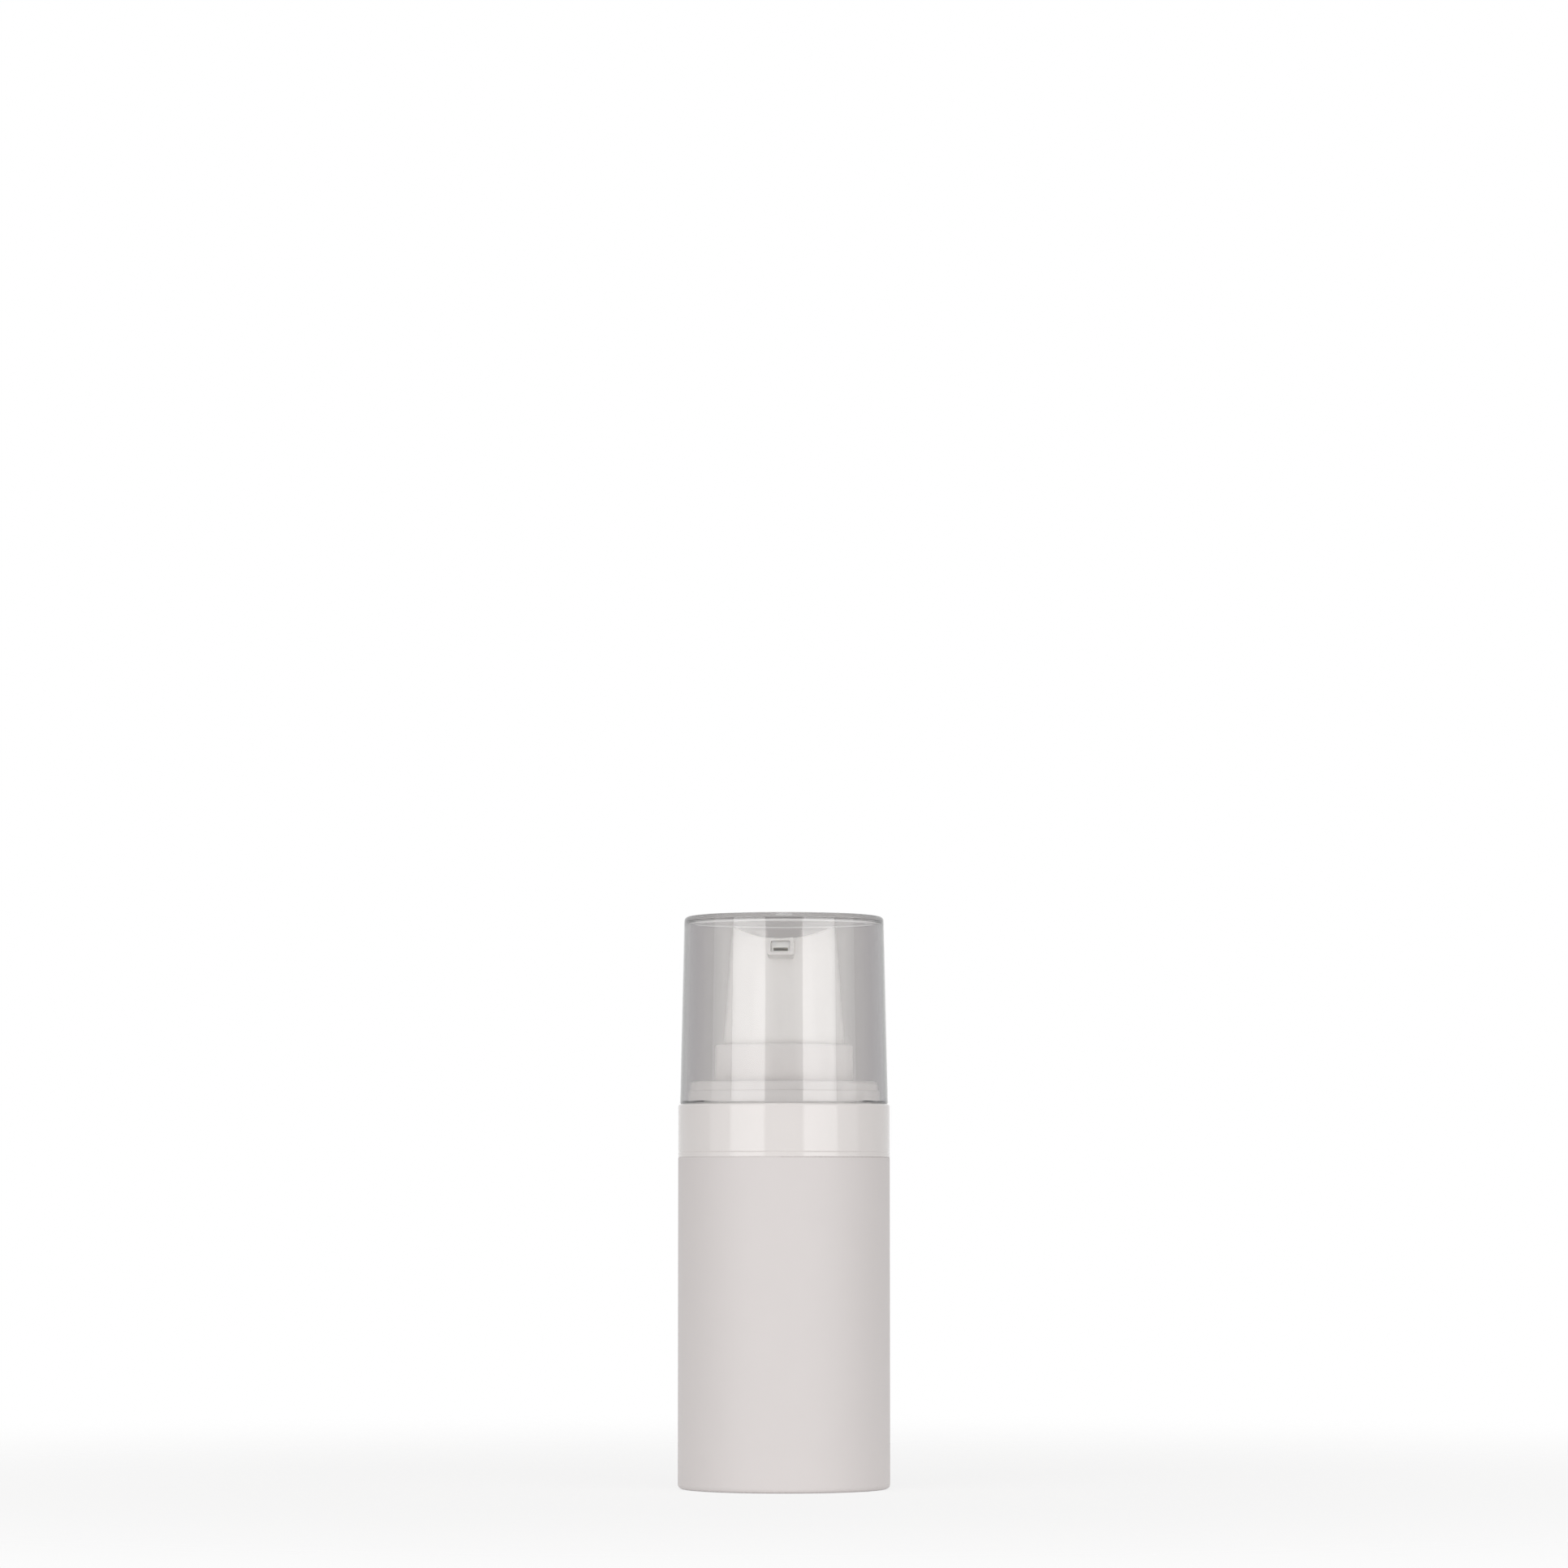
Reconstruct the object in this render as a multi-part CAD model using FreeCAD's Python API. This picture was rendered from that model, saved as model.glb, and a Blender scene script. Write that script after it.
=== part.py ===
import FreeCAD, Part
import math
import os

from FreeCAD import Vector

# An airless pump bottle in millimetres: +Z up, origin at the middle of the foot, nozzle along -Y.
# Every piece is turned about the Z axis, apart from its spout, ducts, flats and ribs and the spring.

# Bottle
BOTTLE_DIAMETER = 36.0
BOTTLE_WALL = 2.2
SHOULDER_HEIGHT = 56.0
NECK_HEIGHT = 6.0
NECK_WALL = 1.1
FOOT_RADIUS = 0.8
SEAM_RADIUS = 0.1
EDGE_RADIUS = 0.2

# Snap beads: one holds the collar on the neck, one holds the base plate in the foot
SNAP_DEPTH = 0.3
SNAP_CLEARANCE = 0.1
COLLAR_SNAP_LENGTH = 1.5
COLLAR_SNAP_RISE = 3.0

# Base plate
BASE_RECESS = 0.6
BASE_THICKNESS = 1.6
BASE_LAND = 0.05
BASE_CLEARANCE = 0.1
VENT_DIAMETER = 1.6
BASE_RING_DIAMETER = 22.0
BASE_RING_WIDTH = 1.2
BASE_RING_DEPTH = 0.3

# Follower piston
FOLLOWER_HEIGHT = 9.0
FOLLOWER_WALL = 0.8
FOLLOWER_WEB = 1.0
FOLLOWER_LIP = 1.2
FOLLOWER_FLARE = 0.25
FOLLOWER_CLEARANCE = 0.05
FOLLOWER_GAP = 0.3
DIMPLE_DIAMETER = 6.0
DIMPLE_DEPTH = 2.6

# Pump housing and its gasket
GASKET_THICKNESS = 0.8
GASKET_CLEARANCE = 0.05
FLANGE_THICKNESS = 1.2
FLANGE_CLEARANCE = 0.25
PLUG_DEPTH = 8.8
PLUG_WALL = 1.0
PLUG_CLEARANCE = 0.1
PUMP_FLOOR = 1.2
CYLINDER_BORE = 10.0
CYLINDER_WALL = 1.1
RIB_COUNT = 6
RIB_THICKNESS = 0.8
PUMP_RIB_HEIGHT = 3.0

# Inlet valve, a mushroom held by its barb
INLET_DIAMETER = 3.0
SEAT_WIDTH = 1.2
SEAT_DEPTH = 0.6
SEAT_GAP = 0.05
VALVE_INSET = 0.1
VALVE_HEAD = 0.6
VALVE_STEM_DIAMETER = 1.8
VALVE_LIFT = 0.8
BARB_HOLD = 0.25
BARB_TIP_DIAMETER = 1.2
BARB_HEIGHT = 0.9

# Stem, poppet and pump piston
STROKE = 5.0
LOST_MOTION = 0.9
FACE_GAP = 0.05
STEM_DIAMETER = 5.6
STEM_BORE = 3.0
STEM_STOP_CLEARANCE = 0.35
STEM_STOP_THICKNESS = 0.75
STEM_END = 0.55
POPPET_DIAMETER = 6.8
POPPET_RIM = 0.7
POPPET_CONE = 1.0
POPPET_GAP = 0.4
POPPET_CLEARANCE = 0.03
POPPET_GRIP = 5.0
FLAT_COUNT = 3
FLAT_DEPTH = 0.5
PISTON_LENGTH = 5.0
PISTON_WALL = 0.5
PISTON_WEB = 1.0
PISTON_LIP = 1.0
PISTON_FLARE = 0.2
PISTON_CLEARANCE = 0.05
SLEEVE_LENGTH = 2.6
SLEEVE_WALL = 1.05
SLEEVE_CLEARANCE = 0.1

# Stem guide, the cap that closes the cylinder
GUIDE_PLUG = 1.6
GUIDE_FLANGE = 1.0
GUIDE_BOSS_HEIGHT = 1.0
GUIDE_BOSS_WALL = 0.9
GUIDE_SKIRT = 1.8
GUIDE_SKIRT_WALL = 0.7
GUIDE_CLEARANCE = 0.08

# Return spring
SPRING_WIRE = 0.7
SPRING_TURNS = 8
SPRING_END_GAP = 0.5
SPRING_CLEARANCE = 0.5
SPRING_SEAT_GAP = 0.05

# Collar: skirt, cap seat, platform and tower
COLLAR_WALL = 1.0
COLLAR_CLEARANCE = 0.1
COLLAR_EDGE = 0.35
RIM_HEIGHT = 0.75
RIM_GROOVE_WIDTH = 0.24
RIM_GROOVE_DEPTH = 0.08
SEAT_HEIGHT = 2.2
SEAT_STEP = 0.3
PLATFORM_HEIGHT = 1.6
PLATFORM_RADIUS = 0.5
PLATFORM_WALL = 1.2
TOWER_HEIGHT = 6.3
TOWER_WALL = 1.1
TOWER_CLEARANCE = 0.35
GUSSET_COUNT = 8
GUSSET_THICKNESS = 0.8
GUSSET_CLEARANCE = 0.3

# Actuator button with its spout
BUTTON_DIAMETER = 20.6
BUTTON_TOP_DIAMETER = 17.6
BUTTON_HEIGHT = 20.4
BUTTON_WALL = 1.1
BUTTON_CEILING = 1.5
SKIRT_GAP = 1.4
BOSS_HEIGHT = 5.2
BOSS_WALL = 1.7
SOCKET_WALL = 1.05
SOCKET_CLEARANCE = 0.05
SOCKET_GAP = 1.3
SCOOP_RADIUS = 16.0
SCOOP_EDGE = 0.3
SCOOP_SPARE = 1.0
SPOUT_REACH = 11.6
SPOUT_WALL = 0.6
SPOUT_ROOF = 0.45
SPOUT_FLOOR = 0.45
SPOUT_EDGE = 0.45
SPOUT_SINK = 0.05
OUTLET_WIDTH = 3.2
OUTLET_HEIGHT = 1.95
OUTLET_EDGE = 0.3
DUCT_SLOPE = 13.0

# Nozzle insert with its slot
INSERT_RECESS = 0.5
INSERT_LENGTH = 4.0
INSERT_CLEARANCE = 0.03
SLOT_WIDTH = 2.4
SLOT_HEIGHT = 0.55
SLOT_RISE = 0.35
SLOT_EDGE = 0.15

# Overcap
CAP_STEP = 0.3
CAP_WALL = 1.3
CAP_TOP = 1.1
CAP_HEADROOM = 0.4
CAP_TAPER = 0.7
CAP_CLEARANCE = 0.08
CAP_SEAT_GAP = 0.08
CAP_EDGE = 0.8
CAP_INNER_EDGE = 0.5
CAP_LEAD = 0.4
GATE_DIAMETER = 3.0
GATE_DEPTH = 0.25
GATE_NUB_DIAMETER = 1.0
GATE_NUB_HEIGHT = 0.15

# Radii that follow from the sizes above
bottle_radius = BOTTLE_DIAMETER / 2
bore_radius = bottle_radius - BOTTLE_WALL
neck_radius = bore_radius + NECK_WALL
plate_radius = bore_radius - BASE_CLEARANCE
skirt_bore = neck_radius + COLLAR_CLEARANCE
flange_radius = skirt_bore - FLANGE_CLEARANCE
plug_radius = bore_radius - PLUG_CLEARANCE
cylinder_radius = CYLINDER_BORE / 2
cylinder_outside = cylinder_radius + CYLINDER_WALL
stem_radius = STEM_DIAMETER / 2
channel_radius = STEM_BORE / 2
guide_bore = stem_radius + GUIDE_CLEARANCE
guide_boss_radius = guide_bore + GUIDE_BOSS_WALL
piston_lip = cylinder_radius - PISTON_CLEARANCE
piston_wall = piston_lip - PISTON_FLARE
piston_inside = piston_wall - PISTON_WALL
stop_radius = piston_inside - STEM_STOP_CLEARANCE
inlet_radius = INLET_DIAMETER / 2
seat_outside = inlet_radius + SEAT_WIDTH
poppet_radius = POPPET_DIAMETER / 2
pin_radius = channel_radius - POPPET_CLEARANCE
sleeve_bore = pin_radius + SLEEVE_CLEARANCE
socket_bore = stem_radius + SOCKET_CLEARANCE
socket_radius = socket_bore + SOCKET_WALL
boss_radius = socket_radius + BOSS_WALL
spring_radius = socket_radius + SPRING_CLEARANCE + SPRING_WIRE / 2
button_radius = BUTTON_DIAMETER / 2
button_top_radius = BUTTON_TOP_DIAMETER / 2
tower_bore = button_radius + TOWER_CLEARANCE
tower_radius = tower_bore + TOWER_WALL
cap_radius = bottle_radius - CAP_STEP
cap_bore = cap_radius - CAP_WALL
seat_radius = cap_bore - CAP_CLEARANCE
platform_radius = seat_radius - SEAT_STEP

# Heights that follow, from the foot up through the fixed pieces
base_top = BASE_RECESS + BASE_THICKNESS
base_middle = BASE_RECESS + BASE_THICKNESS / 2
base_snap_length = BASE_THICKNESS - 2 * BASE_LAND
follower_foot = base_top + FOLLOWER_GAP
neck_top = SHOULDER_HEIGHT + NECK_HEIGHT
flange_foot = neck_top + GASKET_THICKNESS
flange_top = flange_foot + FLANGE_THICKNESS
deck_top = flange_top + COLLAR_WALL
seat_top = deck_top + SEAT_HEIGHT
platform_top = seat_top + PLATFORM_HEIGHT
tower_top = platform_top + TOWER_HEIGHT
rim_top = tower_top + BUTTON_HEIGHT
scoop_floor = rim_top - SCOOP_RADIUS + math.sqrt(SCOOP_RADIUS**2 - button_top_radius**2)
cap_inside = rim_top + CAP_HEADROOM
cap_top = cap_inside + CAP_TOP
cap_foot = deck_top + CAP_SEAT_GAP

# Heights that follow inside the pump, at rest
chamber_ceiling = flange_foot - PLUG_DEPTH
pump_floor_top = chamber_ceiling + PUMP_FLOOR
valve_top = pump_floor_top + VALVE_HEAD
poppet_foot = valve_top + VALVE_LIFT + STROKE + POPPET_GAP
poppet_cone_foot = poppet_foot + POPPET_RIM
sleeve_top = poppet_cone_foot + POPPET_CONE + SLEEVE_LENGTH
stem_foot = sleeve_top + LOST_MOTION + FACE_GAP
stop_foot = stem_foot + STEM_END
stop_top = stop_foot + STEM_STOP_THICKNESS
guide_foot = stop_top + FACE_GAP
cylinder_top = guide_foot + GUIDE_PLUG
guide_top = cylinder_top + GUIDE_FLANGE
guide_boss_top = guide_top + GUIDE_BOSS_HEIGHT
button_foot = flange_top + STROKE + SKIRT_GAP
button_ceiling = scoop_floor - BUTTON_CEILING
boss_foot = button_ceiling - BOSS_HEIGHT
socket_foot = guide_boss_top + STROKE + SOCKET_GAP
outlet_top = scoop_floor - SPOUT_ROOF
outlet_foot = outlet_top - OUTLET_HEIGHT
duct_fall = math.tan(math.radians(DUCT_SLOPE))
spring_end_pitch = SPRING_WIRE + SPRING_END_GAP
spring_foot = guide_top + SPRING_SEAT_GAP + SPRING_WIRE / 2
spring_top = boss_foot - SPRING_SEAT_GAP - SPRING_WIRE / 2
spring_pitch = (spring_top - spring_foot - 2 * spring_end_pitch) / (SPRING_TURNS - 2)
follower_travel = chamber_ceiling - FOLLOWER_GAP - follower_foot - FOLLOWER_HEIGHT

AXIS = Vector(0, 0, 1)
ORIGIN = Vector(0, 0, 0)


def outline(corners):
    """A closed wire in the XZ plane. A corner is (x, z), or (x, z, radius) where it is rounded.
    A radius is limited to what half of the shorter wall beside it can take."""
    places = [Vector(corner[0], 0, corner[1]) for corner in corners]
    starts, ends, middles = [], [], []
    for index, corner in enumerate(corners):
        here = places[index]
        if len(corner) == 2:
            starts.append(here)
            ends.append(here)
            middles.append(None)
            continue
        back = places[index - 1] - here
        ahead = places[(index + 1) % len(places)] - here
        half_angle = back.getAngle(ahead) / 2
        reach = min(corner[2] / math.tan(half_angle), back.Length / 2, ahead.Length / 2)
        radius = reach * math.tan(half_angle)
        inward = (back.normalize() + ahead.normalize()).normalize()
        starts.append(here + back * reach)
        ends.append(here + ahead * reach)
        middles.append(here + inward * (radius / math.sin(half_angle) - radius))
    edges = []
    for index, middle in enumerate(middles):
        if middle is not None:
            edges.append(Part.Arc(starts[index], middle, ends[index]).toShape())
        following = starts[(index + 1) % len(places)]
        if not ends[index].isEqual(following, 1e-9):
            edges.append(Part.LineSegment(ends[index], following).toShape())
    return Part.Wire(edges)


def turned(corners):
    """A solid turned about Z from an outline of (radius, height) corners."""
    return Part.Face(outline(corners)).revolve(ORIGIN, AXIS, 360)


def one_solid(shape):
    """The single solid of a boolean result."""
    joined = shape.removeSplitter()
    if len(joined.Solids) != 1:
        raise ValueError(f"expected one solid, and found {len(joined.Solids)}")
    return joined.Solids[0]


def around(shape, count):
    """Copies of a shape, evenly turned about Z."""
    copies = []
    for index in range(count):
        copy = shape.copy()
        copy.rotate(ORIGIN, AXIS, 360.0 * index / count)
        copies.append(copy)
    return copies


def radial_rib(inner, outer, foot, top, thickness):
    """A flat rib that stands between two radii along +X."""
    return Part.makeBox(outer - inner, thickness, top - foot, Vector(inner, -thickness / 2, foot))


def snap(wall, crest, middle, length, spread=0.0):
    """Corners of a snap bead or its groove, upward from the lower flank. The crest is a third of it."""
    flat = length / 6 + spread
    foot = length / 2 + spread
    return [(wall, middle - foot), (crest, middle - flat), (crest, middle + flat), (wall, middle + foot)]


def sloped_bar(width, foot, top, edge, front, length):
    """A bar of rounded rectangular section whose front stands upright at y = front, and which falls
    with the duct's slope as it runs inward."""
    half = width / 2
    section = outline([(-half, foot, edge), (half, foot, edge), (half, top, edge), (-half, top, edge)])
    section.translate(Vector(0, front, -(front + SPOUT_REACH) * duct_fall))
    return Part.Face(section).extrude(Vector(0, length, -length * duct_fall))


def make_bottle():
    """The barrel with its neck. Its foot is open and takes the base plate in a groove."""
    snap_middle = SHOULDER_HEIGHT + COLLAR_SNAP_RISE
    collar_bead = snap(neck_radius, neck_radius + SNAP_DEPTH, snap_middle, COLLAR_SNAP_LENGTH)
    groove_crest = plate_radius + SNAP_DEPTH + SNAP_CLEARANCE
    plate_groove = snap(bore_radius, groove_crest, base_middle, base_snap_length, SNAP_CLEARANCE)
    return turned(
        [(bore_radius, 0), (bottle_radius, 0, FOOT_RADIUS)]
        + [(bottle_radius, SHOULDER_HEIGHT, SEAM_RADIUS), (neck_radius, SHOULDER_HEIGHT)]
        + collar_bead
        + [(neck_radius, neck_top, EDGE_RADIUS), (bore_radius, neck_top, EDGE_RADIUS)]
        + plate_groove[::-1]
    )


def make_base_plate():
    """The disc that snaps into the foot. Air enters under the follower through its vent."""
    bead = snap(plate_radius, plate_radius + SNAP_DEPTH, base_middle, base_snap_length)
    ring_outer = BASE_RING_DIAMETER / 2
    ring_inner = ring_outer - BASE_RING_WIDTH
    ring_roof = BASE_RECESS + BASE_RING_DEPTH
    vent = VENT_DIAMETER / 2
    return turned(
        [(vent, base_top), (vent, BASE_RECESS), (ring_inner, BASE_RECESS), (ring_inner, ring_roof)]
        + [(ring_outer, ring_roof), (ring_outer, BASE_RECESS), (plate_radius, BASE_RECESS)]
        + bead
        + [(plate_radius, base_top)]
    )


def make_follower_piston():
    """The piston that rises under the product. A lip at each end wipes the bore."""
    top = follower_foot + FOLLOWER_HEIGHT
    lip = bore_radius - FOLLOWER_CLEARANCE
    wall = lip - FOLLOWER_FLARE
    inside = wall - FOLLOWER_WALL
    web_top = top - FOLLOWER_LIP
    web_foot = web_top - FOLLOWER_WEB
    dimple = DIMPLE_DIAMETER / 2
    dimple_floor = web_top - DIMPLE_DEPTH
    return turned(
        [(0, dimple_floor - FOLLOWER_WEB), (dimple + FOLLOWER_WEB, dimple_floor - FOLLOWER_WEB)]
        + [(dimple + FOLLOWER_WEB, web_foot), (inside, web_foot, EDGE_RADIUS)]
        + [(inside, follower_foot + FOLLOWER_LIP), (inside + FOLLOWER_FLARE, follower_foot)]
        + [(lip, follower_foot), (wall, follower_foot + FOLLOWER_LIP), (wall, web_top), (lip, top)]
        + [(inside + FOLLOWER_FLARE, top), (inside, web_top, EDGE_RADIUS)]
        + [(dimple, web_top, EDGE_RADIUS), (dimple, dimple_floor, EDGE_RADIUS), (0, dimple_floor)]
    )


def make_neck_gasket():
    """The flat ring between the neck's rim and the pump's flange."""
    inner = bore_radius + GASKET_CLEARANCE
    outer = neck_radius - GASKET_CLEARANCE
    return turned([(inner, neck_top), (outer, neck_top), (outer, flange_foot), (inner, flange_foot)])


def make_pump_cylinder():
    """The pump's housing: a flange on the neck, a plug in the bore and the cylinder with its inlet."""
    plug_inside = plug_radius - PLUG_WALL
    housing = turned(
        [(inlet_radius, chamber_ceiling), (plug_radius, chamber_ceiling, EDGE_RADIUS)]
        + [(plug_radius, flange_foot), (flange_radius, flange_foot), (flange_radius, flange_top)]
        + [(plug_inside, flange_top), (plug_inside, pump_floor_top, EDGE_RADIUS)]
        + [(cylinder_outside, pump_floor_top, EDGE_RADIUS), (cylinder_outside, cylinder_top)]
        + [(cylinder_radius, cylinder_top), (cylinder_radius, pump_floor_top)]
        + [(seat_outside, pump_floor_top), (inlet_radius, pump_floor_top - SEAT_DEPTH)]
    )
    rib_inner = cylinder_outside - CYLINDER_WALL / 2
    rib_outer = plug_inside + PLUG_WALL / 2
    rib_foot = pump_floor_top - PUMP_FLOOR / 2
    rib = radial_rib(rib_inner, rib_outer, rib_foot, pump_floor_top + PUMP_RIB_HEIGHT, RIB_THICKNESS)
    return one_solid(housing.multiFuse(around(rib, RIB_COUNT)))


def make_inlet_valve():
    """The mushroom that lets product into the cylinder and not back out."""
    stem = VALVE_STEM_DIAMETER / 2
    head = seat_outside - VALVE_INSET
    barb_top = chamber_ceiling - VALVE_LIFT - SEAT_GAP

    def above_seat(radius):
        return pump_floor_top + SEAT_GAP - (seat_outside - radius) * SEAT_DEPTH / SEAT_WIDTH

    return turned(
        [(0, barb_top - BARB_HEIGHT), (BARB_TIP_DIAMETER / 2, barb_top - BARB_HEIGHT)]
        + [(inlet_radius + BARB_HOLD, barb_top), (stem, barb_top), (stem, above_seat(stem))]
        + [(head, above_seat(head)), (head, valve_top, EDGE_RADIUS), (0, valve_top)]
    )


def cone_height(radius):
    """Height of the poppet's sealing cone at a radius."""
    return poppet_cone_foot + POPPET_CONE * (poppet_radius - radius) / (poppet_radius - pin_radius)


def make_stem_poppet():
    """The pin in the stem's foot. Its cone closes the piston, and flats along it let product rise."""
    top = stem_foot + POPPET_GRIP
    pin = turned(
        [(0, poppet_foot), (poppet_radius, poppet_foot, EDGE_RADIUS), (poppet_radius, poppet_cone_foot)]
        + [(pin_radius, cone_height(pin_radius)), (pin_radius, top, EDGE_RADIUS), (0, top)]
    )
    flat_foot = cone_height(pin_radius)
    flat = Part.makeBox(
        POPPET_DIAMETER, POPPET_DIAMETER, top - flat_foot + FLAT_DEPTH,
        Vector(pin_radius - FLAT_DEPTH, -POPPET_DIAMETER / 2, flat_foot),
    )
    return one_solid(pin.cut(around(flat, FLAT_COUNT)))


def make_pump_piston():
    """The piston seal. It slides on the poppet between the sealing cone and the stem's foot."""
    sleeve = sleeve_bore + SLEEVE_WALL
    middle = cone_height(sleeve) + FACE_GAP + SLEEVE_LENGTH / 2
    foot = middle - PISTON_LENGTH / 2
    top = middle + PISTON_LENGTH / 2
    web_foot = middle - PISTON_WEB / 2
    web_top = middle + PISTON_WEB / 2
    lip_inside = piston_inside + PISTON_FLARE
    return turned(
        [(sleeve_bore, cone_height(sleeve_bore) + FACE_GAP), (sleeve, cone_height(sleeve) + FACE_GAP)]
        + [(sleeve, web_foot), (piston_inside, web_foot), (piston_inside, foot + PISTON_LIP)]
        + [(lip_inside, foot), (piston_lip, foot), (piston_wall, foot + PISTON_LIP)]
        + [(piston_wall, top - PISTON_LIP), (piston_lip, top), (lip_inside, top)]
        + [(piston_inside, top - PISTON_LIP), (piston_inside, web_top), (sleeve, web_top)]
        + [(sleeve, sleeve_top), (sleeve_bore, sleeve_top)]
    )


def make_pump_stem():
    """The hollow stem. Its collar stops under the guide, and its top carries the button."""
    top = boss_foot - FACE_GAP
    return turned(
        [(channel_radius, stem_foot), (stem_radius, stem_foot), (stem_radius, stop_foot)]
        + [(stop_radius, stop_foot), (stop_radius, stop_top), (stem_radius, stop_top)]
        + [(stem_radius, top, EDGE_RADIUS), (channel_radius, top)]
    )


def make_stem_guide():
    """The cap that closes the cylinder, guides the stem and centres the spring."""
    plug = cylinder_radius - PISTON_CLEARANCE
    skirt_inside = cylinder_outside + GUIDE_CLEARANCE
    skirt_outside = skirt_inside + GUIDE_SKIRT_WALL
    skirt_foot = cylinder_top - GUIDE_SKIRT
    return turned(
        [(guide_bore, guide_foot), (plug, guide_foot), (plug, cylinder_top)]
        + [(skirt_inside, cylinder_top), (skirt_inside, skirt_foot), (skirt_outside, skirt_foot)]
        + [(skirt_outside, guide_top, EDGE_RADIUS), (guide_boss_radius, guide_top)]
        + [(guide_boss_radius, guide_boss_top, EDGE_RADIUS), (guide_bore, guide_boss_top)]
    )


def arc_middle(start, heading, end):
    """The middle of the arc that leaves start along heading and ends at end."""
    chord = end - start
    along = Vector(chord).normalize()
    sideways = (heading - along * heading.dot(along)).normalize()
    bulge = chord.Length / 2 * math.tan(heading.getAngle(chord) / 2)
    return (start + end) * 0.5 + sideways * bulge


def spring_point(turn):
    """The place and heading of the wire's centre after a number of turns. The end turns lie closer."""
    if turn < 1:
        height = turn * spring_end_pitch
    elif turn <= SPRING_TURNS - 1:
        height = spring_end_pitch + (turn - 1) * spring_pitch
    else:
        height = spring_top - spring_foot - (SPRING_TURNS - turn) * spring_end_pitch
    if turn in (1, SPRING_TURNS - 1):
        pitch = (spring_end_pitch + spring_pitch) / 2
    else:
        pitch = spring_pitch if 1 < turn < SPRING_TURNS - 1 else spring_end_pitch
    angle = 2 * math.pi * turn
    outward = Vector(math.cos(angle), math.sin(angle), 0)
    onward = AXIS.cross(outward) * (2 * math.pi * spring_radius)
    place = outward * spring_radius + AXIS * (spring_foot + height)
    return place, (onward + AXIS * pitch).normalize()


def spring_gap():
    """The least clear gap between the spring's turns, measured on points along the wire."""
    points_per_turn = 24
    count = points_per_turn * SPRING_TURNS + 1
    points = [spring_point(index / points_per_turn)[0] for index in range(count)]
    nearest = min(
        (points[first] - points[second]).Length
        for first in range(count)
        for second in range(first + points_per_turn // 2, count)
    )
    return nearest - SPRING_WIRE


def make_return_spring():
    """The compression spring between the guide and the button: one tube on two arcs per quarter turn."""
    edges = []
    for quarter in range(4 * SPRING_TURNS):
        start, leave = spring_point(quarter / 4)
        end, arrive = spring_point((quarter + 1) / 4)
        span = end - start
        along = span.dot(leave + arrive)
        spread = 2 * (1 - leave.dot(arrive))
        reach = (math.sqrt(along**2 + spread * span.dot(span)) - along) / spread
        joint = (start + end + (leave - arrive) * reach) * 0.5
        edges.append(Part.Arc(start, arc_middle(start, leave, joint), joint).toShape())
        edges.append(Part.Arc(joint, arc_middle(end, arrive * -1, joint), end).toShape())
    path = Part.Wire(edges)
    start, leave = spring_point(0)
    section = Part.Wire(Part.makeCircle(SPRING_WIRE / 2, start, leave))
    wire = path.makePipeShell([section], True, False)
    expected = math.pi * (SPRING_WIRE / 2) ** 2 * path.Length
    print(f"spring: volume {wire.Volume:.2f} of {expected:.2f}, least gap {spring_gap():.2f}")
    return wire


def make_collar():
    """The ring that snaps on the neck, clamps the pump, seats the overcap and sleeves the button."""
    groove_crest = neck_radius + SNAP_DEPTH + SNAP_CLEARANCE
    snap_middle = SHOULDER_HEIGHT + COLLAR_SNAP_RISE
    groove = snap(skirt_bore, groove_crest, snap_middle, COLLAR_SNAP_LENGTH, SNAP_CLEARANCE)
    rim = SHOULDER_HEIGHT + RIM_HEIGHT
    line = [
        (bottle_radius, rim), (bottle_radius - RIM_GROOVE_DEPTH, rim + RIM_GROOVE_WIDTH / 2),
        (bottle_radius, rim + RIM_GROOVE_WIDTH),
    ]
    platform_inside = platform_radius - PLATFORM_WALL
    platform_foot = platform_top - PLATFORM_WALL
    ring = turned(
        [(skirt_bore, SHOULDER_HEIGHT), (bottle_radius, SHOULDER_HEIGHT, SEAM_RADIUS)]
        + line
        + [(bottle_radius, deck_top, COLLAR_EDGE), (seat_radius, deck_top)]
        + [(seat_radius, seat_top, EDGE_RADIUS), (platform_radius, seat_top)]
        + [(platform_radius, platform_top, PLATFORM_RADIUS)]
        + [(tower_radius, platform_top, EDGE_RADIUS), (tower_radius, tower_top, COLLAR_EDGE)]
        + [(tower_bore, tower_top, EDGE_RADIUS), (tower_bore, platform_foot)]
        + [(platform_inside, platform_foot), (platform_inside, flange_top), (skirt_bore, flange_top)]
        + groove[::-1]
    )
    gusset = radial_rib(
        tower_bore + GUSSET_CLEARANCE, platform_inside + PLATFORM_WALL / 2,
        flange_top + GUSSET_CLEARANCE, platform_foot + PLATFORM_WALL / 2, GUSSET_THICKNESS,
    )
    return one_solid(ring.multiFuse(around(gusset, GUSSET_COUNT)))


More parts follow.
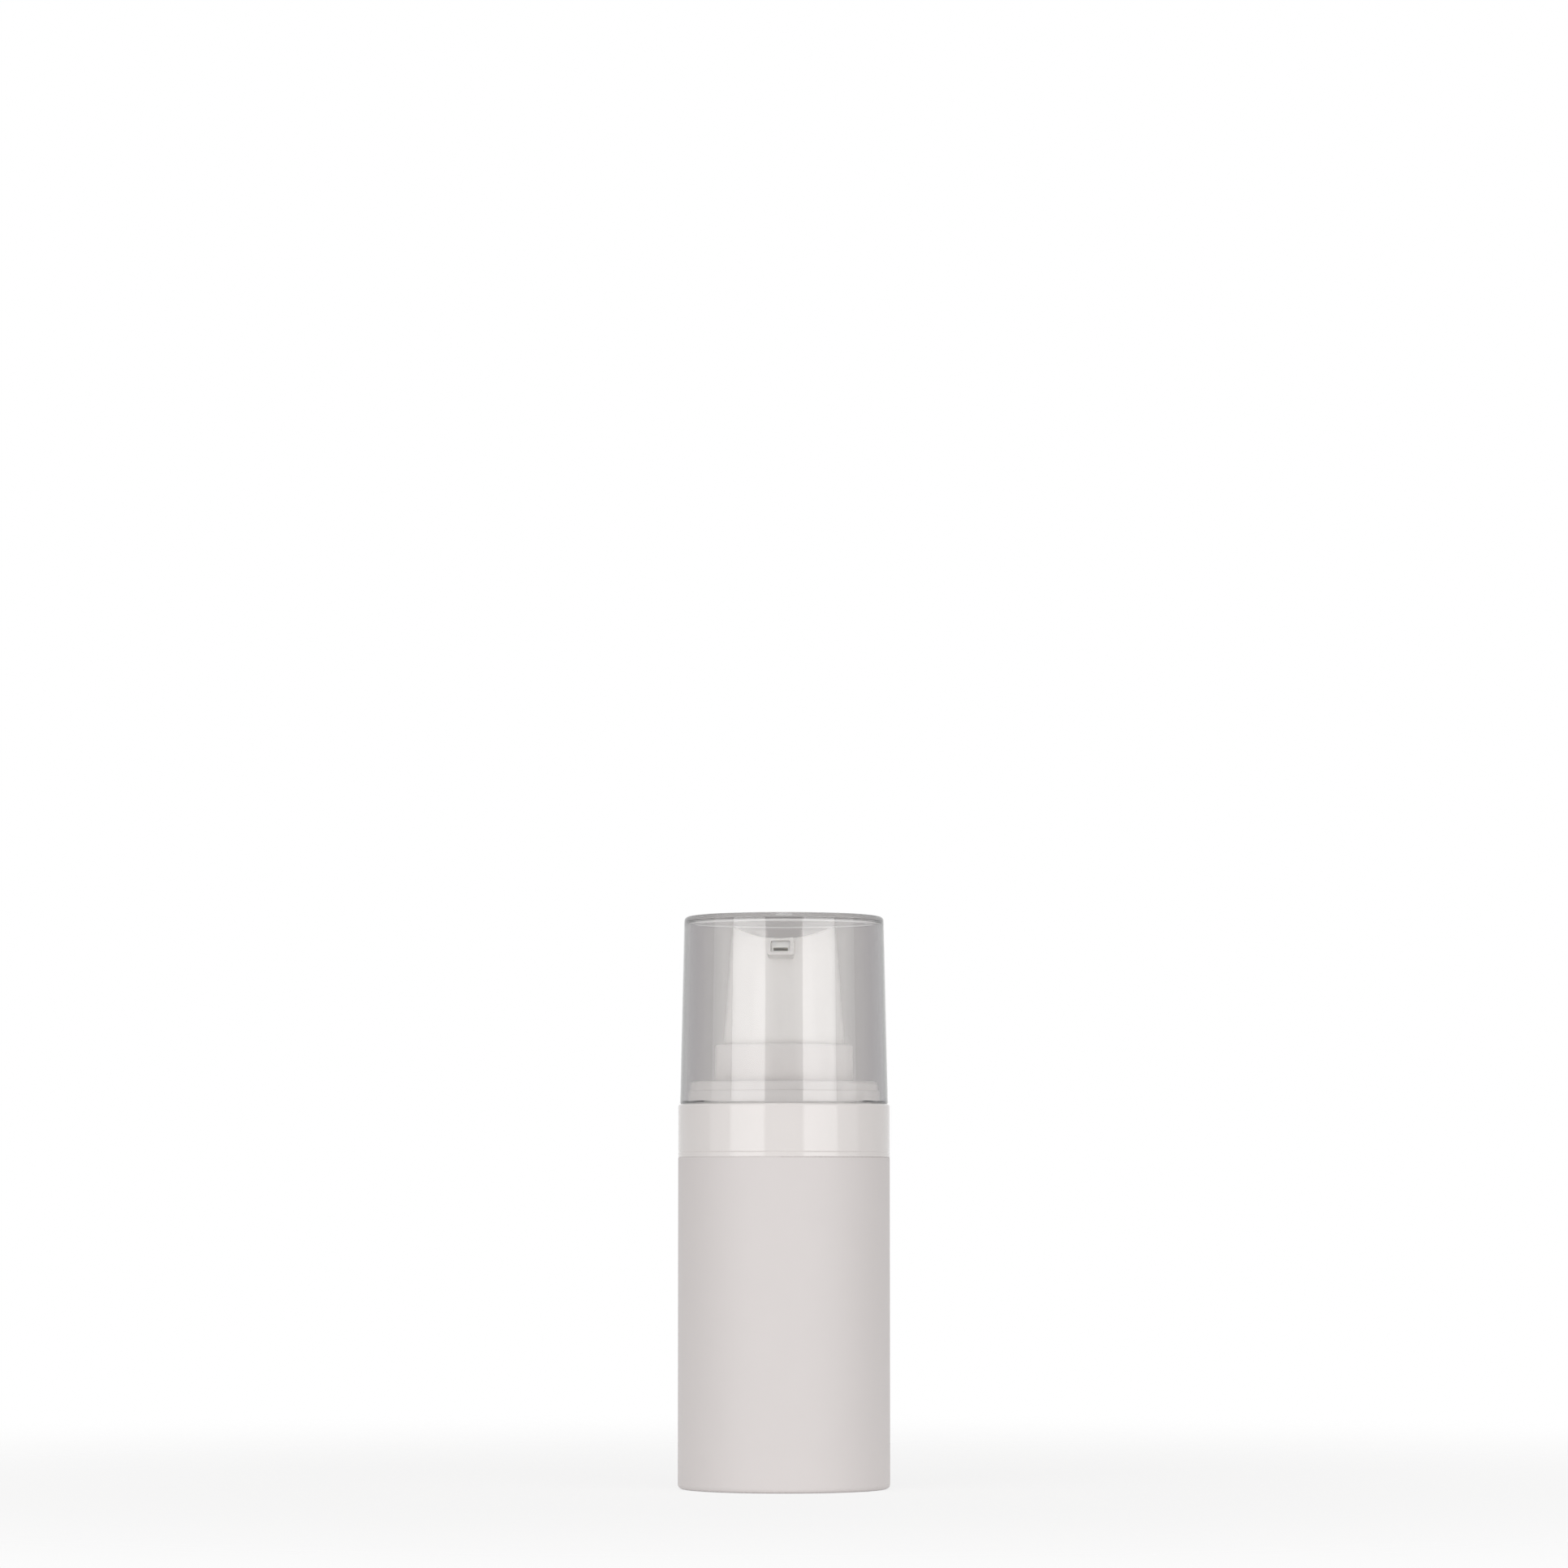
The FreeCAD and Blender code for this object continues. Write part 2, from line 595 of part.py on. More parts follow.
def make_actuator_button():
    """The button: a cone with a finger scoop, a spout, a stem socket and the duct between them."""
    lean = (button_radius - button_top_radius) / BUTTON_HEIGHT
    ceiling_inside = button_radius - (button_ceiling - tower_top) * lean - BUTTON_WALL
    channel_top = outlet_foot - SPOUT_REACH * duct_fall + OUTLET_HEIGHT
    blank_top = rim_top + SCOOP_SPARE
    cone = turned(
        [(button_radius - BUTTON_WALL, button_foot), (button_radius, button_foot, EDGE_RADIUS)]
        + [(button_radius, tower_top), (button_top_radius - lean * SCOOP_SPARE, blank_top)]
        + [(0, blank_top), (0, channel_top), (channel_radius, channel_top)]
        + [(channel_radius, boss_foot), (socket_bore, boss_foot), (socket_bore, socket_foot)]
        + [(socket_radius, socket_foot), (socket_radius, boss_foot), (boss_radius, boss_foot)]
        + [(boss_radius, button_ceiling), (ceiling_inside, button_ceiling)]
        + [(button_radius - BUTTON_WALL, tower_top)]
    )
    spout = sloped_bar(
        OUTLET_WIDTH + 2 * SPOUT_WALL, outlet_foot - SPOUT_FLOOR, scoop_floor + SPOUT_REACH * duct_fall,
        SPOUT_EDGE, -SPOUT_REACH, SPOUT_REACH - boss_radius + BOSS_WALL / 2,
    )
    duct_front = -SPOUT_REACH - SPOUT_WALL
    duct = sloped_bar(OUTLET_WIDTH, outlet_foot, outlet_top, OUTLET_EDGE, duct_front, -duct_front)
    body = one_solid(scooped(cone, scoop_floor).fuse(scooped(spout, scoop_floor - SPOUT_SINK)))
    return one_solid(body.cut(duct))


def scooped(shape, floor_height):
    """A shape cut by a finger scoop down to a height, with the rim of the cut rounded."""
    start = Vector(0, -2 * SPOUT_REACH, floor_height + SCOOP_RADIUS)
    scoop = Part.makeCylinder(SCOOP_RADIUS, 4 * SPOUT_REACH, start, Vector(0, 1, 0))
    trimmed = one_solid(shape.cut(scoop))
    floor = next(face for face in trimmed.Faces if is_scoop(face))
    return one_solid(trimmed.makeFillet(SCOOP_EDGE, floor.OuterWire.Edges))


def is_scoop(face):
    """Whether a face of the button is its finger scoop."""
    return isinstance(face.Surface, Part.Cylinder) and math.isclose(face.Surface.Radius, SCOOP_RADIUS)


def make_nozzle_insert():
    """The plug in the spout. Product leaves through its slot."""
    front = -SPOUT_REACH + INSERT_RECESS
    plug = sloped_bar(
        OUTLET_WIDTH - 2 * INSERT_CLEARANCE, outlet_foot + INSERT_CLEARANCE, outlet_top - INSERT_CLEARANCE,
        OUTLET_EDGE, front, INSERT_LENGTH,
    )
    slot_foot = outlet_foot + SLOT_RISE
    slot_top = slot_foot + SLOT_HEIGHT
    slot = sloped_bar(SLOT_WIDTH, slot_foot, slot_top, SLOT_EDGE, front, INSERT_LENGTH)
    return one_solid(plug.cut(slot))


def make_overcap():
    """The clear cap. Its side leans in towards the top, and its mouth slides over the collar's seat."""
    top_radius = cap_radius - CAP_TAPER
    gate = GATE_DIAMETER / 2
    nub = GATE_NUB_DIAMETER / 2
    gate_floor = cap_top - GATE_DEPTH
    return turned(
        [(cap_bore + CAP_LEAD / 2, cap_foot), (cap_radius, cap_foot, EDGE_RADIUS)]
        + [(top_radius, cap_top, CAP_EDGE), (gate, cap_top), (gate, gate_floor), (nub, gate_floor)]
        + [(nub, gate_floor + GATE_NUB_HEIGHT), (0, gate_floor + GATE_NUB_HEIGHT), (0, cap_inside)]
        + [(top_radius - CAP_WALL, cap_inside, CAP_INNER_EDGE), (cap_bore, seat_top)]
        + [(cap_bore, cap_foot + CAP_LEAD)]
    )


PIECES = {
    "bottle": make_bottle,
    "base_plate": make_base_plate,
    "follower_piston": make_follower_piston,
    "neck_gasket": make_neck_gasket,
    "pump_cylinder": make_pump_cylinder,
    "inlet_valve": make_inlet_valve,
    "stem_poppet": make_stem_poppet,
    "pump_piston": make_pump_piston,
    "pump_stem": make_pump_stem,
    "stem_guide": make_stem_guide,
    "return_spring": make_return_spring,
    "collar": make_collar,
    "actuator_button": make_actuator_button,
    "nozzle_insert": make_nozzle_insert,
    "overcap": make_overcap,
}


def main():
    os.makedirs("parts", exist_ok=True)
    for name, make in PIECES.items():
        shape = make()
        box = shape.BoundBox
        sound = shape.isValid() and 0 < shape.Volume < box.XLength * box.YLength * box.ZLength
        if not sound or len(shape.Solids) != 1:
            raise ValueError(f"{name} is not one valid solid")
        shape.exportStep(f"parts/{name}.step")
        print(f"{name}: volume {shape.Volume:.1f}")
    print(f"follower travel {follower_travel:.2f}, cap top {cap_top:.2f}")
    print(f"spring seats {guide_top:.2f} and {boss_foot:.2f}")


main()
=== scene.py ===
import math

import bmesh
import bpy
from mathutils import Matrix, Vector


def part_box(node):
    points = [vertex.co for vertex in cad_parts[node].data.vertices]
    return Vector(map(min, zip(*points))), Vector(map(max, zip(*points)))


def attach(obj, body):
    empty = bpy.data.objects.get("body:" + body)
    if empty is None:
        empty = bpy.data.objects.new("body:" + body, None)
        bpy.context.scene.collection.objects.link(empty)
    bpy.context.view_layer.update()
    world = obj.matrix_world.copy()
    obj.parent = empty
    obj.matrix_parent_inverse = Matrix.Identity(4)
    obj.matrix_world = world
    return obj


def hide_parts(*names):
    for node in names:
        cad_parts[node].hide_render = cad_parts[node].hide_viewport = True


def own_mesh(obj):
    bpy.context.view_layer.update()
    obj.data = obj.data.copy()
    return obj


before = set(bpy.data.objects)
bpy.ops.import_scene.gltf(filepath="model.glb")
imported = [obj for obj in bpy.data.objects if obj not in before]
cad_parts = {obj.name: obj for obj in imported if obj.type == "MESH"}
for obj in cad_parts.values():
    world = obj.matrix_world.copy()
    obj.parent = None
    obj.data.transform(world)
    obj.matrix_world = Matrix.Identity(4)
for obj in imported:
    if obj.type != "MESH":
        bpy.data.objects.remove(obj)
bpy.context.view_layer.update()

# Lengths are in metres and colours are linear. The camera stands a little to the right of the nozzle.
MILLIMETRES = 1000
SENSOR_WIDTH = 0.036
LENS = 0.134
CAMERA_DISTANCE = 0.995
CAMERA_AZIMUTH = math.radians(3.0)
EYE_HEIGHT = 0.0483
AIM_HEIGHT = 0.1197

# Two low softboxes stand to the left and right of the camera, each with a dimmer panel beside it.
# Only their lower part shows in gloss, so that they don't wash out the cap's flat top in low views.
LIGHT_DISTANCE = 1.0
LIGHT_FOOT = 0.0
LIGHT_GLOSS_TOP = 0.192
LIGHT_TOP = 0.276
SOFTBOX_SPAN = (math.radians(21), math.radians(60))
SOFTBOX_RADIANCE = 3.3
PANEL_SPAN = (math.radians(61), math.radians(87))
PANEL_RADIANCE = 0.9

# Room light: a base level, with more from the front and back, from above, and a little more from the front
ROOM_COLOUR = (1.0, 0.99, 0.985, 1.0)
ROOM_BASE = 0.035
ROOM_DEPTH = 0.7
ROOM_ABOVE = 0.9
ROOM_FRONT = 0.12
WHITE = (1.0, 1.0, 1.0, 1.0)
BLACK = (0.0, 0.0, 0.0, 1.0)

# The floor fades out between two distances from the bottle
FLOOR_RADIUS = 1.6
FLOOR_SEGMENTS = 96
FLOOR_COLOUR = (0.92, 0.915, 0.91, 1.0)
FLOOR_FADE = (0.06, 0.36)
FLOOR_GLOW = 0.75

# Moulded plastics: colour, range of roughness, grain as layers of (patch size, height),
# the share of the light that goes a little way under the surface, and the nodes they dress
PLASTICS = {
    "satin_white": {
        "colour": (0.725, 0.688, 0.68, 1.0),
        "roughness": (0.46, 0.54),
        "grain": ((0.02, 4e-6), (0.0003, 1.5e-6)),
        "milky": 0.0,
        "nodes": ("bottle", "base_plate"),
    },
    "gloss_white": {
        "colour": (0.775, 0.74, 0.725, 1.0),
        "roughness": (0.08, 0.14),
        "grain": ((0.012, 4e-6), (0.0008, 2e-7)),
        "milky": 0.0,
        "nodes": ("collar",),
    },
    # The button's white is lighter than the collar's: partly its own colour, partly painted light that
    # makes up for the shade inside the cap
    "button_white": {
        "colour": (0.825, 0.795, 0.775, 1.0),
        "roughness": (0.1, 0.16),
        "grain": ((0.01, 4e-6), (0.0008, 2e-7)),
        "milky": 0.0,
        "nodes": ("actuator_button",),
    },
    "natural_pp": {
        "colour": (0.92, 0.89, 0.84, 1.0),
        "roughness": (0.25, 0.35),
        "grain": ((0.004, 3e-6),),
        "milky": 0.6,
        "nodes": ("nozzle_insert", "pump_cylinder", "stem_guide", "pump_stem", "stem_poppet"),
    },
    "natural_pe": {
        "colour": (0.72, 0.7, 0.66, 1.0),
        "roughness": (0.38, 0.48),
        "grain": ((0.004, 3e-6), (0.0003, 1e-6)),
        "milky": 0.0,
        "nodes": ("pump_piston", "inlet_valve", "follower_piston"),
    },
    "gasket_foam": {
        "colour": (0.55, 0.55, 0.54, 1.0),
        "roughness": (0.75, 0.9),
        "grain": ((0.0004, 3e-5),),
        "milky": 0.0,
        "nodes": ("neck_gasket",),
    },
}
PLASTIC_SPECULAR = 0.4
PLASTIC_DRIFT = 0.012
PLASTIC_DRIFT_PATCH = 0.006
PLASTIC_ROUGHNESS_PATCH = 0.004
MILKY_RADIUS = (1.0, 0.92, 0.8)
MILKY_DEPTH = 0.0012
NOISE_DETAIL = 2.0

# Spring wire
WIRE_COLOUR = (0.6, 0.59, 0.57, 1.0)
WIRE_DRIFT = 0.06
WIRE_DRIFT_PATCH = 0.0006
WIRE_ROUGHNESS = (0.18, 0.34)
WIRE_ROUGHNESS_PATCH = 0.0003
WIRE_GRAIN = ((0.0003, 2e-6),)
WIRE_WELD = 1e-6

# Painted shade on the cap's plastic, for views only: greys of its skin by how far the surface turns from
# the view, and those of its roof and ceiling
CAP_PAINTED_SHADES = (
    (0.0, (0.145, 0.132, 0.127, 1.0)),
    (0.085, (0.195, 0.18, 0.172, 1.0)),
    (0.179, (0.115, 0.104, 0.106, 1.0)),
    (0.23, (0.1, 0.095, 0.097, 1.0)),
    (0.247, (0.036, 0.036, 0.036, 1.0)),
)
PAINTED_SHADE_BLEND = 0.5
ROOF_PAINTED_SHADE = (0.45, 0.43, 0.42, 1.0)
CEILING_PAINTED_SHADE = (0.8, 0.785, 0.78, 1.0)

# Where the painted grey shade lies: a wall's normal rises or falls by less than the tilt, the roof begins
# at the ceiling, and a view has had less than half a matt bounce
WALL_TILT = 0.3
CEILING_MARGIN = 1e-5
HALF_BOUNCE = 0.5

# The rest of the cap's plastic, and the bounces that light may take in it
CAP_INDEX = 1.49
CAP_ABSORPTION = 3.0
CAP_ROUGHNESS = (0.0, 0.03)
CAP_ROUGHNESS_PATCH = 0.005
CAP_WAVES = ((0.012, 4e-6),)
CLEAR_BOUNCES = 32

# The cap's section: its wall, its lean, the straight part of its bore, and the gate's dimple on top
CAP_WALL = 0.0013
CAP_ROOF = 0.0011
CAP_LEAN = 0.0007
CAP_STRAIGHT = 0.00212
CAP_LEAD = 0.0004
CAP_FOOT_EDGE = 0.0002
CAP_TOP_EDGE = 0.0008
CAP_INNER_EDGE = 0.0005
GATE_RADIUS = 0.0015
GATE_DEPTH = 0.00025
NUB_RADIUS = 0.0005
NUB_HEIGHT = 0.00015
ARC_STEPS = 8
TURN_STEPS = 180
TURN_WELD = 1e-7

# Next to each rounding a short step is cut off the straight, so that smooth shading leaves the rest flat
EDGE_HOLD = 0.00005
SHARP_ANGLE = math.radians(15)


def linked(name, data):
    """A new object with this data, in the scene."""
    thing = bpy.data.objects.new(name, data)
    bpy.context.scene.collection.objects.link(thing)
    return thing


def emptied(owner):
    """The node tree of a material or world, emptied."""
    owner.use_nodes = True
    owner.node_tree.nodes.clear()
    return owner.node_tree


def add(tree, kind, inputs=None, **settings):
    """A new node with its settings. An input is a value or the output of another node."""
    node = tree.nodes.new("ShaderNode" + kind)
    for name, value in settings.items():
        setattr(node, name, value)
    for name, value in (inputs or {}).items():
        if isinstance(value, bpy.types.NodeSocket):
            tree.links.new(value, node.inputs[name])
        else:
            node.inputs[name].default_value = value
    return node


def calc(tree, operation, *values):
    """The result of a calculation with numbers."""
    return add(tree, "Math", dict(enumerate(values)), operation=operation).outputs["Value"]


def calc_vector(tree, operation, *values):
    """The outputs of a calculation with vectors."""
    return add(tree, "VectorMath", dict(enumerate(values)), operation=operation).outputs


def product(tree, *values):
    """The product of several values."""
    whole = values[0]
    for value in values[1:]:
        whole = calc(tree, "MULTIPLY", whole, value)
    return whole


def blended(tree, share, first, second):
    """The first colour where share is 0, and the second where it is 1."""
    # A Mix node's colours are its inputs 6 and 7 and its output 2
    return add(tree, "Mix", {0: share, 6: first, 7: second}, data_type="RGBA").outputs[2]


def object_place(tree):
    """The place of a point on its object."""
    return add(tree, "TexCoord").outputs["Object"]


def noise(tree, size):
    """The value of a noise whose patches are about this large."""
    inputs = {"Vector": object_place(tree), "Scale": 1 / size, "Detail": NOISE_DETAIL}
    return add(tree, "TexNoise", inputs).outputs["Fac"]


def between(tree, value, low, high):
    """A value from 0 to 1 turned into one between low and high."""
    return add(tree, "MapRange", {"Value": value, "To Min": low, "To Max": high}).outputs["Result"]


def bumped(tree, layers):
    """A normal that follows noise layers of (patch size, height), the largest first."""
    normal = None
    for size, height in layers:
        inputs = {"Height": noise(tree, size), "Distance": height, "Strength": 1.0}
        if normal is not None:
            inputs["Normal"] = normal
        normal = add(tree, "Bump", inputs).outputs["Normal"]
    return normal


def toned(tree, colour, spread, size):
    """A colour that drifts by a small share of itself over patches."""
    value = between(tree, noise(tree, size), 1 - spread, 1 + spread)
    return add(tree, "HueSaturation", {"Value": value, "Color": colour}).outputs["Color"]


def moulded_plastic(name, plastic):
    """A moulded plastic with a fine grain, whose colour and roughness drift a little."""
    material = bpy.data.materials.new(name)
    tree = emptied(material)
    inputs = {
        "Base Color": toned(tree, plastic["colour"], PLASTIC_DRIFT, PLASTIC_DRIFT_PATCH),
        "Roughness": between(tree, noise(tree, PLASTIC_ROUGHNESS_PATCH), *plastic["roughness"]),
        "Normal": bumped(tree, plastic["grain"]),
        "Specular IOR Level": PLASTIC_SPECULAR,
        "Subsurface Weight": plastic["milky"],
        "Subsurface Radius": MILKY_RADIUS,
        "Subsurface Scale": MILKY_DEPTH,
    }
    shader = add(tree, "BsdfPrincipled", inputs)
    add(tree, "OutputMaterial", {"Surface": shader.outputs["BSDF"]})
    return material


def drawn_wire(name):
    """Bright spring steel with fine streaks."""
    material = bpy.data.materials.new(name)
    tree = emptied(material)
    inputs = {
        "Base Color": toned(tree, WIRE_COLOUR, WIRE_DRIFT, WIRE_DRIFT_PATCH),
        "Metallic": 1.0,
        "Roughness": between(tree, noise(tree, WIRE_ROUGHNESS_PATCH), *WIRE_ROUGHNESS),
        "Normal": bumped(tree, WIRE_GRAIN),
    }
    shader = add(tree, "BsdfPrincipled", inputs)
    add(tree, "OutputMaterial", {"Surface": shader.outputs["BSDF"]})
    return material


def skin_painted_shade(tree):
    """The painted grey shade of the cap's skin, from stop to stop as the surface turns from the view."""
    turn = add(tree, "LayerWeight", {"Blend": PAINTED_SHADE_BLEND}).outputs["Facing"]
    ramp = add(tree, "ValToRGB", {"Fac": turn})
    stops = ramp.color_ramp.elements
    stops.remove(stops[1])
    stops[0].position, stops[0].color = CAP_PAINTED_SHADES[0]
    for position, colour in CAP_PAINTED_SHADES[1:]:
        stops.new(position).color = colour
    return ramp.outputs["Color"]


def cap_painted_shade(tree, skin_radius, ceiling):
    """White, or a painted grey shade where a view leaves the cap's plastic through its skin, its roof or
    its ceiling.
    """
    place = object_place(tree)
    height = add(tree, "SeparateXYZ", {"Vector": place}).outputs["Z"]
    level = calc_vector(tree, "MULTIPLY", place, (1.0, 1.0, 0.0))["Vector"]
    radius = calc_vector(tree, "LENGTH", level)["Value"]
    geometry = add(tree, "NewGeometry").outputs
    upright = add(tree, "SeparateXYZ", {"Vector": geometry["Normal"]}).outputs["Z"]
    wall = calc(tree, "COMPARE", upright, 0.0, WALL_TILT)
    flat = calc(tree, "SUBTRACT", 1.0, wall)
    # The grey is painted shade: light that falls on what stands inside isn't darkened by it, so only views
    # before a matt bounce count
    bounces = add(tree, "LightPath").outputs["Diffuse Depth"]
    seen = calc(tree, "LESS_THAN", bounces, HALF_BOUNCE)
    leaving = product(tree, geometry["Backfacing"], seen)
    skin = product(tree, leaving, wall, calc(tree, "GREATER_THAN", radius, skin_radius))
    roof = product(tree, leaving, flat, calc(tree, "GREATER_THAN", height, ceiling - CEILING_MARGIN))
    outside = calc(tree, "GREATER_THAN", height, ceiling + CAP_ROOF / 2)
    sided = blended(tree, skin, WHITE, skin_painted_shade(tree))
    roofed = blended(tree, outside, CEILING_PAINTED_SHADE, ROOF_PAINTED_SHADE)
    return blended(tree, roof, sided, roofed)


def clear_plastic(name, skin_radius, ceiling):
    """The cap's plastic: clear to what is inside, with a painted grey shade where the view leaves it."""
    material = bpy.data.materials.new(name)
    tree = emptied(material)
    inputs = {
        # The base colour is white, with painted grey shade where a view leaves the plastic
        "Base Color": cap_painted_shade(tree, skin_radius, ceiling),
        "Transmission Weight": 1.0,
        "IOR": CAP_INDEX,
        "Roughness": between(tree, noise(tree, CAP_ROUGHNESS_PATCH), *CAP_ROUGHNESS),
        "Normal": bumped(tree, CAP_WAVES),
    }
    shader = add(tree, "BsdfPrincipled", inputs)
    volume = add(tree, "VolumeAbsorption", {"Color": BLACK, "Density": CAP_ABSORPTION})
    add(tree, "OutputMaterial", {"Surface": shader.outputs["BSDF"], "Volume": volume.outputs["Volume"]})
    return material


def dress(material, names):
    """Gives nodes a material."""
    for name in names:
        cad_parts[name].data.materials[0] = material


def dress_nodes():
    """Gives every node but the cap's its finish."""
    for name, plastic in PLASTICS.items():
        dress(moulded_plastic(name, plastic), plastic["nodes"])
    dress(drawn_wire("spring_wire"), ["return_spring"])


def rounded(corners):
    """The points of an outline of corners (radius, height) or (radius, height, rounding)."""
    points = []
    for index, corner in enumerate(corners):
        here = Vector(corner[:2])
        if len(corner) == 2:
            points.append(here)
            continue
        back = (Vector(corners[index - 1][:2]) - here).normalized()
        ahead = (Vector(corners[index + 1][:2]) - here).normalized()
        half_angle = back.angle(ahead) / 2
        centre = here + (back + ahead).normalized() * corner[2] / math.sin(half_angle)
        reach = corner[2] / math.tan(half_angle)
        start = here + back * reach - centre
        end = here + ahead * reach - centre
        sweep = math.atan2(start.cross(end), start.dot(end))
        points.append(centre + start + back * EDGE_HOLD)
        for step in range(ARC_STEPS + 1):
            points.append(centre + Matrix.Rotation(sweep * step / ARC_STEPS, 2) @ start)
        points.append(centre + end + ahead * EDGE_HOLD)
    return points


def turned(name, corners, material):
    """A piece turned about the bottle's axis. Its outline begins and ends on the axis."""
    mesh = bpy.data.meshes.new(name)
    shape = bmesh.new()
    chain = [shape.verts.new((point.x, 0, point.y)) for point in rounded(corners)]
    edges = [shape.edges.new(pair) for pair in zip(chain, chain[1:])]
    spin = {"cent": (0, 0, 0), "axis": (0, 0, 1), "angle": 2 * math.pi, "steps": TURN_STEPS}
    bmesh.ops.spin(shape, geom=chain + edges, use_duplicate=False, use_merge=True, **spin)
    bmesh.ops.remove_doubles(shape, verts=shape.verts, dist=TURN_WELD)
    bmesh.ops.recalc_face_normals(shape, faces=shape.faces)
    shape.to_mesh(mesh)
    shape.free()
    mesh.shade_smooth()
    mesh.set_sharp_from_angle(angle=SHARP_ANGLE)
    mesh.materials.append(material)
    return linked(name, mesh)


def turned_cap():
    """The clear cap as a fine mesh, so that what is seen through it isn't broken by facets."""
    low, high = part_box("overcap")
    mouth = high.x
    bore = mouth - CAP_WALL
    crown = mouth - CAP_LEAN
    ceiling = high.z - CAP_ROOF
    gate_floor = high.z - GATE_DEPTH
    nub_top = gate_floor + NUB_HEIGHT
    corners = [
        (0, ceiling),
        (crown - CAP_WALL, ceiling, CAP_INNER_EDGE),
        (bore, low.z + CAP_STRAIGHT),
        (bore, low.z + CAP_LEAD),
        (bore + CAP_LEAD / 2, low.z),
        (mouth, low.z, CAP_FOOT_EDGE),
        (crown, high.z, CAP_TOP_EDGE),
        (GATE_RADIUS, high.z),
        (GATE_RADIUS, gate_floor),
        (NUB_RADIUS, gate_floor),
        (NUB_RADIUS, nub_top),
        (0, nub_top),
    ]
    cap = turned("fine_cap", corners, clear_plastic("clear_cap", (bore + crown) / 2, ceiling))
    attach(cap, "cap")
    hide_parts("overcap")


def squeezed_spring():
    """The spring, welded into a closed mesh and carried by the bottle's body in place of the CAD spring."""
    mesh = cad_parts["return_spring"].data.copy()
    welded = bmesh.new()
    welded.from_mesh(mesh)
    bmesh.ops.remove_doubles(welded, verts=welded.verts, dist=WIRE_WELD)
    welded.to_mesh(mesh)
    welded.free()
    spring = linked("squeezed_spring", mesh)
    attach(spring, "bottle_body")
    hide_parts("return_spring")
    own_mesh(spring)


def seen_directly(tree):
    """1 for what the camera sees, straight, mirrored or through the clear cap, and 0 for other light."""
    path = add(tree, "LightPath").outputs
    mirrored = calc(tree, "MAXIMUM", path["Is Camera Ray"], path["Is Glossy Ray"])
    return calc(tree, "MAXIMUM", mirrored, path["Is Transmission Ray"])


def pale_floor(name):
    """A pale paint that glows a little for the camera, and fades out away from the bottle."""
    material = bpy.data.materials.new(name)
    tree = emptied(material)
    paint = add(tree, "BsdfDiffuse", {"Color": FLOOR_COLOUR}).outputs["BSDF"]
    white = add(tree, "Emission", {"Color": WHITE}).outputs["Emission"]
    glow = calc(tree, "MULTIPLY", seen_directly(tree), FLOOR_GLOW)
    near = add(tree, "MixShader", {0: glow, 1: paint, 2: white}).outputs["Shader"]
    away = calc_vector(tree, "LENGTH", object_place(tree))["Value"]
    ramp = {"Value": away, "From Min": FLOOR_FADE[0], "From Max": FLOOR_FADE[1]}
    fade = add(tree, "MapRange", ramp, interpolation_type="SMOOTHSTEP").outputs["Result"]
    clear = add(tree, "BsdfTransparent").outputs["BSDF"]
    whole = add(tree, "MixShader", {0: fade, 1: near, 2: clear}).outputs["Shader"]
    add(tree, "OutputMaterial", {"Surface": whole})
    return material


def make_floor():
    """A pale round floor that fades into the white room, and keeps the bottle's shadow."""
    mesh = bpy.data.meshes.new("floor")
    disc = bmesh.new()
    bmesh.ops.create_circle(disc, cap_ends=True, segments=FLOOR_SEGMENTS, radius=FLOOR_RADIUS)
    disc.to_mesh(mesh)
    disc.free()
    mesh.materials.append(pale_floor("pale_floor"))
    floor = linked("floor", mesh)


def make_room():
    """A white room whose own light comes mostly from above, the front and the back."""
    world = bpy.data.worlds.new("room")
    bpy.context.scene.world = world
    tree = emptied(world)
    direction = add(tree, "TexCoord").outputs["Generated"]
    squares = calc_vector(tree, "MULTIPLY", direction, direction)["Vector"]
    spread = calc_vector(tree, "DOT_PRODUCT", squares, (0.0, ROOM_DEPTH, ROOM_ABOVE))["Value"]
    front = calc_vector(tree, "DOT_PRODUCT", direction, (0.0, -ROOM_FRONT, 0.0))["Value"]
    level = calc(tree, "ADD", calc(tree, "ADD", spread, front), ROOM_BASE)
    lamp = add(tree, "Background", {"Color": ROOM_COLOUR, "Strength": level}).outputs["Background"]
    backdrop = add(tree, "Background", {"Color": WHITE, "Strength": 1.0}).outputs["Background"]
    mixed = add(tree, "MixShader", {0: seen_directly(tree), 1: lamp, 2: backdrop}).outputs["Shader"]
    add(tree, "OutputWorld", {"Surface": mixed})


def towards(azimuth):
    """The level direction from the bottle's axis to an azimuth, which is 0 at the nozzle."""
    return Vector((math.sin(azimuth), -math.cos(azimuth), 0))


